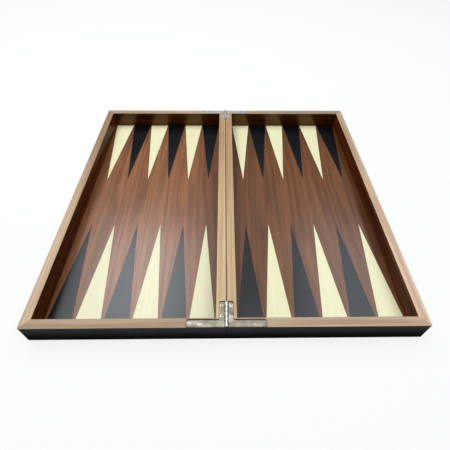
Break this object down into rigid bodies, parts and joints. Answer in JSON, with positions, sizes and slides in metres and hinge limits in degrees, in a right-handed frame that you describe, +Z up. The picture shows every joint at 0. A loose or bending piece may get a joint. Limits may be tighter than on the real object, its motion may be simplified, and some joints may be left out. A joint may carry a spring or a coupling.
{
  "type": "backgammon board",
  "caption": "Folding walnut backgammon board: shallow trays with inlaid pale and black points, black outside, joined by mortised nickel hinges so that it closes into a box.",
  "frame": {"origin": "on the table, under the middle of the fold line, with the board opened flat", "axes": "+X across both trays towards the right-hand tray, +Y along the fold line away from the player, +Z up"},
  "size_m": [0.5, 0.495, 0.0374],
  "materials": {
    "rail_walnut": "satin walnut",
    "field_walnut": "gloss lacquered walnut",
    "light_inlay": "gloss lacquered pale wood",
    "dark_inlay": "gloss lacquered black wood",
    "black_lacquer": "gloss black",
    "nickel": "nickel plated"
  },
  "bodies": {
    "left_tray": {"left_front_rail": "rail_walnut", "left_side_rail": "rail_walnut", "left_back_rail": "rail_walnut", "left_centre_rail": "rail_walnut", "left_edge_band": "black_lacquer", "left_base_panel": "black_lacquer", "left_field": "field_walnut", "left_front_point_1": "light_inlay", "left_front_point_2": "dark_inlay", "left_front_point_3": "light_inlay", "left_front_point_4": "dark_inlay", "left_front_point_5": "light_inlay", "left_front_point_6": "dark_inlay", "left_back_point_1": "dark_inlay", "left_back_point_2": "light_inlay", "left_back_point_3": "dark_inlay", "left_back_point_4": "light_inlay", "left_back_point_5": "dark_inlay", "left_back_point_6": "light_inlay", "front_hinge_left_leaf": "nickel", "front_hinge_left_screw_1": "nickel", "front_hinge_left_screw_2": "nickel", "front_hinge_left_screw_3": "nickel", "front_hinge_left_screw_4": "nickel", "back_hinge_left_leaf": "nickel", "back_hinge_left_screw_1": "nickel", "back_hinge_left_screw_2": "nickel", "back_hinge_left_screw_3": "nickel", "back_hinge_left_screw_4": "nickel", "front_hinge_pin": "nickel"},
    "right_tray": {"right_front_rail": "rail_walnut", "right_side_rail": "rail_walnut", "right_back_rail": "rail_walnut", "right_centre_rail": "rail_walnut", "right_edge_band": "black_lacquer", "right_base_panel": "black_lacquer", "right_field": "field_walnut", "right_front_point_1": "dark_inlay", "right_front_point_2": "light_inlay", "right_front_point_3": "dark_inlay", "right_front_point_4": "light_inlay", "right_front_point_5": "dark_inlay", "right_front_point_6": "light_inlay", "right_back_point_1": "light_inlay", "right_back_point_2": "dark_inlay", "right_back_point_3": "light_inlay", "right_back_point_4": "dark_inlay", "right_back_point_5": "light_inlay", "right_back_point_6": "dark_inlay", "front_hinge_right_leaf": "nickel", "front_hinge_right_screw_1": "nickel", "front_hinge_right_screw_2": "nickel", "front_hinge_right_screw_3": "nickel", "front_hinge_right_screw_4": "nickel", "back_hinge_right_leaf": "nickel", "back_hinge_right_screw_1": "nickel", "back_hinge_right_screw_2": "nickel", "back_hinge_right_screw_3": "nickel", "back_hinge_right_screw_4": "nickel", "back_hinge_pin": "nickel"}
  },
  "joints": [
    {"name": "fold", "type": "hinge", "parent": "left_tray", "child": "right_tray", "pos_m": [0, 0, 0.0352], "axis": [0, -1, 0], "range_deg": [0, 180]}
  ]
}
